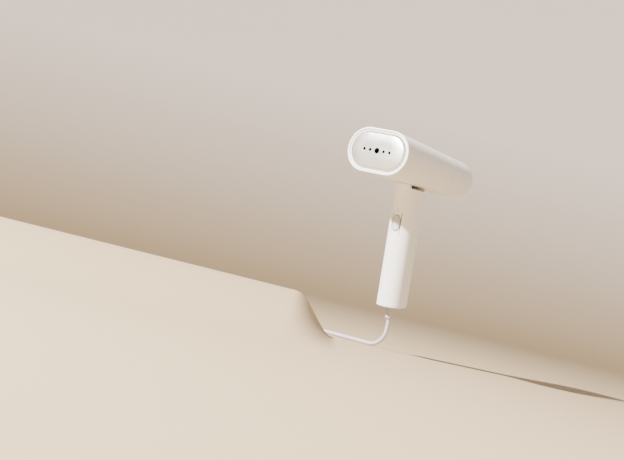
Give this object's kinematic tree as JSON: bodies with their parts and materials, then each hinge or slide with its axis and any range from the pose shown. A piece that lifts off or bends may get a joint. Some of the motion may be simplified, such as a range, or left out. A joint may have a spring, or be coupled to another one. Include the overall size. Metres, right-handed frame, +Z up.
{
  "type": "garment steamer",
  "caption": "Handheld garment steamer: barrel head with a steam plate in front and a slide-off water tank behind, on a folding handle with a steam button and a mains cord.",
  "frame": {"origin": "on the handle's axis, in the middle of the grip", "axes": "+Z up, -Y the way the steam plate faces, +Y towards the water tank, X=0 is the plane of symmetry"},
  "size_m": [0.216, 0.1823, 0.2586],
  "materials": {
    "shell_white": "satin moulded ABS",
    "tank_white": "translucent moulded",
    "frame_grey": "heat-resistant moulded",
    "plate_silver": "satin coated",
    "cast_aluminium": "as cast",
    "steel": "plain",
    "brass": "plain",
    "seal_red": "silicone",
    "seal_dark": "silicone",
    "hose_clear": "silicone",
    "pump_grey": "lacquered",
    "bracket_white": "moulded",
    "dark_plastic": "moulded",
    "board_green": "solder resist",
    "button_grey": "satin moulded",
    "lens": "clear moulded",
    "cord_grey": "matte PVC",
    "tie_grey": "hook and loop",
    "pin_metal": "nickel plated"
  },
  "bodies": {
    "handle": {"handle_shell": "shell_white", "handle_back_cover": "shell_white", "handle_foot": "shell_white", "hinge_pin": "steel", "hinge_washers": "brass", "micro_switch": "dark_plastic", "control_board": "board_green", "terminal_block": "bracket_white", "indicator_lens": "lens", "board_screws": "steel", "cover_screws": "steel", "cord_clamp": "bracket_white", "clamp_screws": "steel", "strain_relief": "cord_grey", "power_cord": "cord_grey", "cord_coil": "cord_grey", "cord_tail": "cord_grey", "cord_tie": "tie_grey", "plug_body": "cord_grey", "plug_pins": "pin_metal"},
    "head": {"head_shell": "shell_white", "plate_frame": "frame_grey", "steam_plate": "plate_silver", "plate_gasket": "seal_red", "steam_chamber": "cast_aluminium", "heating_element": "steel", "element_terminals": "brass", "thermostat": "dark_plastic", "thermal_fuse": "steel", "heat_shield": "steel", "chamber_screws": "steel", "water_hose": "hose_clear", "pump_can": "pump_grey", "pump_core": "bracket_white", "pump_bracket": "bracket_white", "inlet_hose": "hose_clear", "dock_bulkhead": "frame_grey", "dock_seal": "seal_dark", "hinge_lug": "shell_white", "hinge_screws": "steel"},
    "tank": {"water_tank": "tank_white", "tank_spigot": "bracket_white", "spigot_seal": "seal_red", "lid_pin": "steel"},
    "lid": {"filler_lid": "tank_white", "filler_plug": "hose_clear"},
    "button": {"steam_button": "button_grey", "button_plunger": "dark_plastic"}
  },
  "joints": [
    {"name": "head_fold", "type": "hinge", "parent": "handle", "child": "head", "pos_m": [0, 0.00188, 0.06163], "axis": [1, 0, 0], "range_deg": [-80, 0]},
    {"name": "tank_slide", "type": "slide", "parent": "head", "child": "tank", "axis": [0, 1, 0], "range_m": [0, 0.06]},
    {"name": "lid_hinge", "type": "hinge", "parent": "tank", "child": "lid", "pos_m": [0, 0.0555, 0.12041], "axis": [-1, 0, 0], "range_deg": [0, 70]},
    {"name": "button_press", "type": "slide", "parent": "handle", "child": "button", "axis": [0, 0.9877, 0.1564], "range_m": [0, 0.0025], "stiffness_N_per_m": 400}
  ]
}
